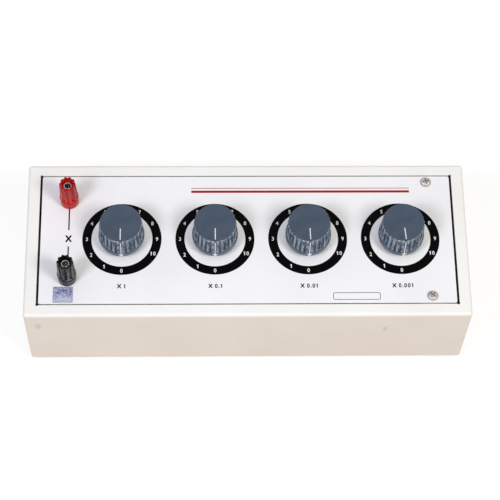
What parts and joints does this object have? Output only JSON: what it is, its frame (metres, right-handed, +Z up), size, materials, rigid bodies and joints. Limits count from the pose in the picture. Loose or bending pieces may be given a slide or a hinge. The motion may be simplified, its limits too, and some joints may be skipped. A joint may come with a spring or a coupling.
{
  "type": "capacitance box",
  "caption": "Sheet-cased bench decade capacitance box: fluted dial knobs in a row on a flush panel, with a red and a black binding post.",
  "frame": {"origin": "under the middle of the case, on the surface that the feet stand on", "axes": "+X right along the row of dials, +Z up through the panel, -Y to the front"},
  "size_m": [0.32, 0.122, 0.1094],
  "materials": {
    "case_paint": "semi-gloss stove enamel over sheet steel",
    "panel_paint": "smooth satin enamel with printed dials",
    "rubber": "moulded rubber",
    "zinc": "dull zinc plate",
    "label_paper": "thin printed film, blank",
    "red_plastic": "glossy moulded",
    "black_plastic": "glossy moulded",
    "nickel": "nickel plate",
    "knob_plastic": "glossy moulded",
    "knob_cap_plastic": "satin",
    "brass": "plain",
    "plated_steel": "zinc plate",
    "wafer_board": "paper laminate",
    "film": "dipped film capacitor",
    "copper_wire": "tinned copper"
  },
  "bodies": {
    "case_body": {"case_shell": "case_paint", "base_plate": "case_paint", "front_panel": "panel_paint", "rubber_feet": "rubber", "base_screws": "zinc", "panel_screws": "zinc", "seal_label": "label_paper", "red_collar": "red_plastic", "black_collar": "black_plastic", "terminal_insulators": "black_plastic", "terminal_posts": "nickel", "panel_nuts": "nickel", "lock_washers": "nickel", "terminal_nuts": "brass", "solder_tags": "brass", "contact_clips": "brass", "switch_plate_1": "plated_steel", "switch_plate_2": "plated_steel", "switch_plate_3": "plated_steel", "switch_plate_4": "plated_steel", "switch_studs": "plated_steel", "stud_spacers": "plated_steel", "stud_nuts": "plated_steel", "detent_springs": "plated_steel", "panel_tabs": "plated_steel", "wafers_1": "wafer_board", "wafers_2": "wafer_board", "wafers_3": "wafer_board", "wafers_4": "wafer_board", "capacitors_1": "film", "capacitors_2": "film", "capacitors_3": "film", "capacitors_4": "film", "common_bus": "copper_wire", "return_bus": "copper_wire"},
    "dial_1": {"knob_1": "knob_plastic", "knob_cap_1": "knob_cap_plastic", "collet_1": "brass", "spindle_1": "plated_steel", "rotors_1": "wafer_board"},
    "dial_2": {"knob_2": "knob_plastic", "knob_cap_2": "knob_cap_plastic", "collet_2": "brass", "spindle_2": "plated_steel", "rotors_2": "wafer_board"},
    "dial_3": {"knob_3": "knob_plastic", "knob_cap_3": "knob_cap_plastic", "collet_3": "brass", "spindle_3": "plated_steel", "rotors_3": "wafer_board"},
    "dial_4": {"knob_4": "knob_plastic", "knob_cap_4": "knob_cap_plastic", "collet_4": "brass", "spindle_4": "plated_steel", "rotors_4": "wafer_board"},
    "red_clamp": {"red_clamp_washer": "nickel"},
    "red_post_cap": {"red_cap": "red_plastic"},
    "black_clamp": {"black_clamp_washer": "nickel"},
    "black_post_cap": {"black_cap": "black_plastic"}
  },
  "joints": [
    {"name": "dial_1_turn", "type": "hinge", "parent": "case_body", "child": "dial_1", "pos_m": [-0.0907, 0, 0.0822], "axis": [0, 0, 1], "range_deg": [-300, 0]},
    {"name": "dial_2_turn", "type": "hinge", "parent": "case_body", "child": "dial_2", "pos_m": [-0.0235, 0, 0.0822], "axis": [0, 0, 1], "range_deg": [-300, 0]},
    {"name": "dial_3_turn", "type": "hinge", "parent": "case_body", "child": "dial_3", "pos_m": [0.0437, 0, 0.0822], "axis": [0, 0, 1], "range_deg": [-300, 0]},
    {"name": "dial_4_turn", "type": "hinge", "parent": "case_body", "child": "dial_4", "pos_m": [0.1109, 0, 0.0822], "axis": [0, 0, 1], "range_deg": [-300, 0]},
    {"name": "red_clamp_lift", "type": "slide", "parent": "case_body", "child": "red_clamp", "axis": [0, 0, 1], "range_m": [0, 0.004]},
    {"name": "red_cap_turn", "type": "hinge", "parent": "red_clamp", "child": "red_post_cap", "pos_m": [-0.1292, 0.031, 0.088], "axis": [0, 0, 1], "range_deg": [0, 1440]},
    {"name": "black_clamp_lift", "type": "slide", "parent": "case_body", "child": "black_clamp", "axis": [0, 0, 1], "range_m": [0, 0.004]},
    {"name": "black_cap_turn", "type": "hinge", "parent": "black_clamp", "child": "black_post_cap", "pos_m": [-0.1292, -0.031, 0.088], "axis": [0, 0, 1], "range_deg": [0, 1440]}
  ],
  "couplings": [
    {"joint": "red_cap_turn", "follows": "red_clamp_lift", "rad_per_m": 6283.1},
    {"joint": "black_cap_turn", "follows": "black_clamp_lift", "rad_per_m": 6283.1}
  ]
}
